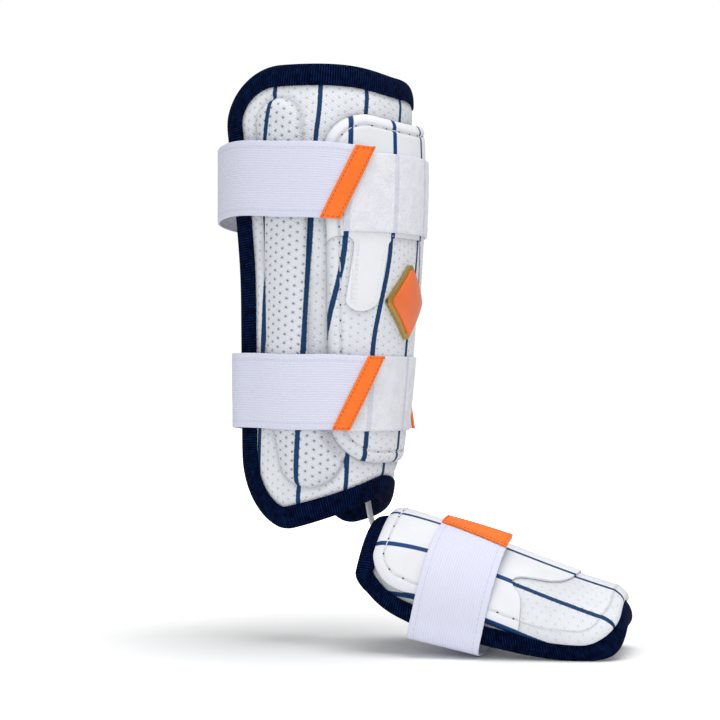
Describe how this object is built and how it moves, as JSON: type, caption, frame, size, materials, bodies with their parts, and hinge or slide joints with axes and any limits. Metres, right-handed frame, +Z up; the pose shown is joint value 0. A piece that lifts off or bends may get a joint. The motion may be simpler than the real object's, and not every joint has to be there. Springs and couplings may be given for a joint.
{
  "type": "leg guard",
  "caption": "Padded batter's leg guard with a ribbed shin shell, raised front plate, elastic straps, and a strapped foot guard hung below it on an elastic strip.",
  "frame": {"origin": "on the lining at the middle of the shin shell's front, where the shin bears on the guard", "axes": "+Z up the shin, -Y out of the front of the leg, +X to the wearer's left, which is the side the foot guard's toe turns to"},
  "size_m": [0.141, 0.2511, 0.343],
  "materials": {
    "white_mesh": "perforated mesh cover with navy pinstripes",
    "white_leather": "smooth synthetic leather with navy pinstripes",
    "navy_tape": "ribbed woven tape",
    "white_elastic": "ribbed woven elastic",
    "loop_pile": "fuzzy loop pile",
    "orange_tab": "smooth synthetic leather, stitched",
    "gold_rim": "moulded, metallic gold",
    "grey_elastic": "woven elastic"
  },
  "bodies": {
    "root": {"shin_pad": "white_mesh", "shin_lining": "navy_tape", "shin_binding": "navy_tape", "shin_plate": "white_mesh", "shin_overlay": "white_leather", "loop_band_upper": "loop_pile", "strap_upper": "white_elastic", "tag_upper_left": "orange_tab", "tag_upper_right": "orange_tab", "loop_band_lower": "loop_pile", "strap_lower": "white_elastic", "tag_lower_left": "orange_tab", "tag_lower_right": "orange_tab", "badge_rim": "gold_rim", "badge_face": "orange_tab", "link_strip": "grey_elastic", "foot_pad": "white_mesh", "foot_binding": "navy_tape", "foot_plate": "white_mesh", "foot_overlay": "white_leather", "foot_strap": "white_elastic", "foot_tag_left": "orange_tab", "foot_tag_right": "orange_tab"}
  },
  "joints": []
}
